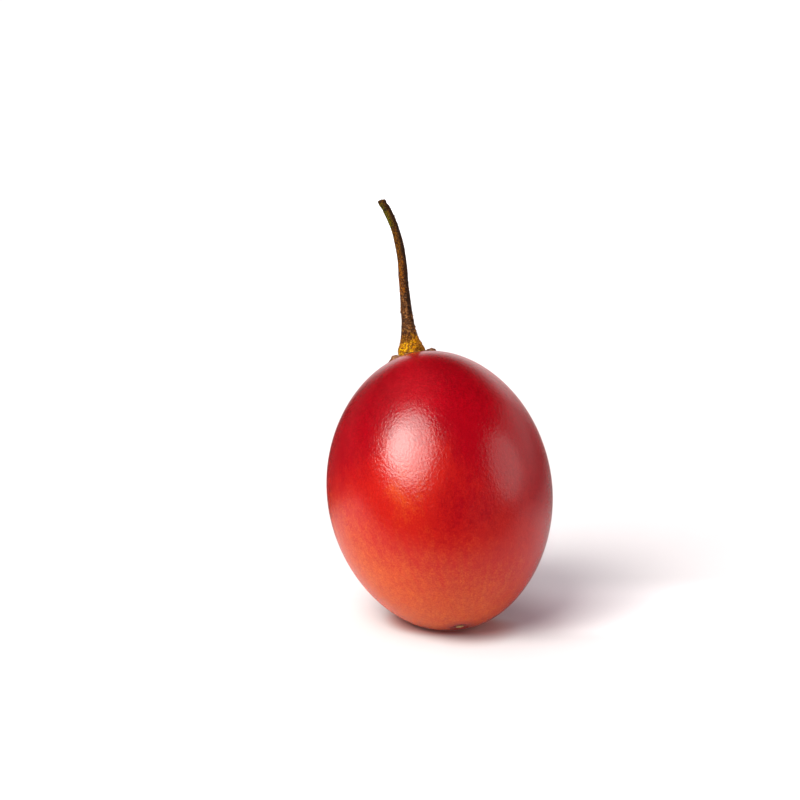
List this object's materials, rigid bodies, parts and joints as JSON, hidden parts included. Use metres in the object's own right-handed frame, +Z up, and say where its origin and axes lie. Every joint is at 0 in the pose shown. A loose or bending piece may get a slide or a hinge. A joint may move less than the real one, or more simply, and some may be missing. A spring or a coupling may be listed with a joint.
{
  "type": "tamarillo",
  "caption": "Egg-shaped glossy red fruit standing on its blossom end and leaning back, with a lobed dried calyx and a long curved stalk.",
  "frame": {"origin": "centre of the flat spot that the fruit rests on", "axes": "+Z up from the surface it rests on; the stem end leans back towards +Y and a little towards -X; +X to the right"},
  "size_m": [0.0482, 0.0603, 0.0838],
  "materials": {
    "skin": "smooth waxy skin, crimson at the stem end and orange-red below",
    "dried_leaf": "dry olive-brown calyx with a pale papery edge",
    "bark": "dry speckled brown stalk, ochre at its flared foot and green towards the tip"
  },
  "bodies": {
    "root": {"fruit": "skin", "calyx": "dried_leaf", "stalk": "bark"}
  },
  "joints": []
}
